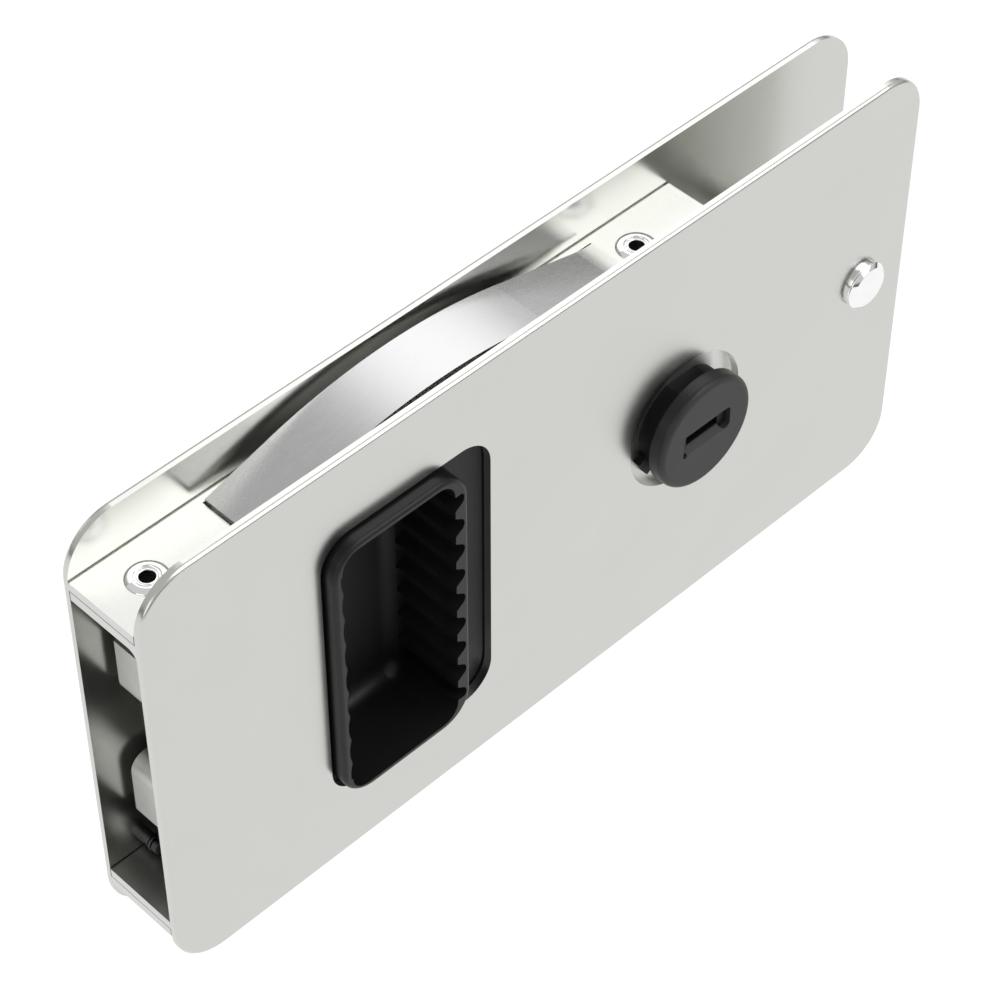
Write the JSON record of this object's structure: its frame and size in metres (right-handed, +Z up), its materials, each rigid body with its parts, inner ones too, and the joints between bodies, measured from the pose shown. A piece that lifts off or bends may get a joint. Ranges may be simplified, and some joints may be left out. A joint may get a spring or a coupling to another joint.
{
  "type": "flush sliding door latch",
  "caption": "Flush latch for a sliding door: two plates that straddle the door panel, sliding black finger cup, key lock, two jaws in an edge mouth and a bowed bracing tongue.",
  "frame": {"origin": "middle of the plates' mouth edge, halfway through the door panel's thickness", "axes": "+X along the plates from the mouth to the through bolt, +Y from the front plate with the finger cup towards the back plate, +Z up"},
  "size_m": [0.22, 0.0318, 0.116],
  "materials": {
    "satin_steel": "satin",
    "polished": "polished",
    "dark_steel": "oiled",
    "zinc_plate": "zinc plated",
    "cast_zinc": "satin",
    "bright_steel": "bright",
    "black_plastic": "satin",
    "dark_plastic": "matte"
  },
  "bodies": {
    "case": {"front_plate": "satin_steel", "back_plate": "satin_steel", "front_frame": "satin_steel", "back_frame": "satin_steel", "blind_rivets": "polished", "rivet_mandrels": "dark_steel", "guide_rails": "zinc_plate", "jaw_pivots": "bright_steel", "pivot_clips": "dark_steel", "spring_posts": "dark_steel", "upper_spring": "dark_steel", "lower_spring": "dark_steel", "lock_bracket": "satin_steel", "lock_housing": "dark_plastic", "lock_clip": "zinc_plate", "through_bolt": "polished", "barrel_nut": "polished"},
    "slide": {"finger_cup": "black_plastic", "drive_plate": "zinc_plate", "push_nuts": "zinc_plate"},
    "upper_jaw_body": {"upper_jaw": "cast_zinc", "upper_drive_pin": "bright_steel"},
    "lower_jaw_body": {"lower_jaw": "cast_zinc", "lower_drive_pin": "bright_steel"},
    "lock_plug": {"lock_cap": "dark_plastic", "lock_core": "cast_zinc", "lock_cam": "zinc_plate", "cam_screw": "zinc_plate"}
  },
  "joints": [
    {"name": "cup_slide", "type": "slide", "parent": "case", "child": "slide", "axis": [1, 0, 0], "range_m": [0, 0.0084], "stiffness_N_per_m": 1200, "springref_m": -0.006, "deforming": ["upper_spring", "lower_spring"]},
    {"name": "upper_jaw_swing", "type": "hinge", "parent": "case", "child": "upper_jaw_body", "pos_m": [0.033, 0, 0.015], "axis": [0, 1, 0], "range_deg": [0, 22.06]},
    {"name": "lower_jaw_swing", "type": "hinge", "parent": "case", "child": "lower_jaw_body", "pos_m": [0.033, 0, -0.015], "axis": [0, -1, 0], "range_deg": [0, 22.06]},
    {"name": "lock_turn", "type": "hinge", "parent": "case", "child": "lock_plug", "pos_m": [0.148, 0, 0.001], "axis": [0, 1, 0], "range_deg": [-90, 0]}
  ],
  "couplings": [
    {"joint": "upper_jaw_swing", "follows": "cup_slide", "rad_per_m": 45.735},
    {"joint": "lower_jaw_swing", "follows": "cup_slide", "rad_per_m": 45.735}
  ]
}
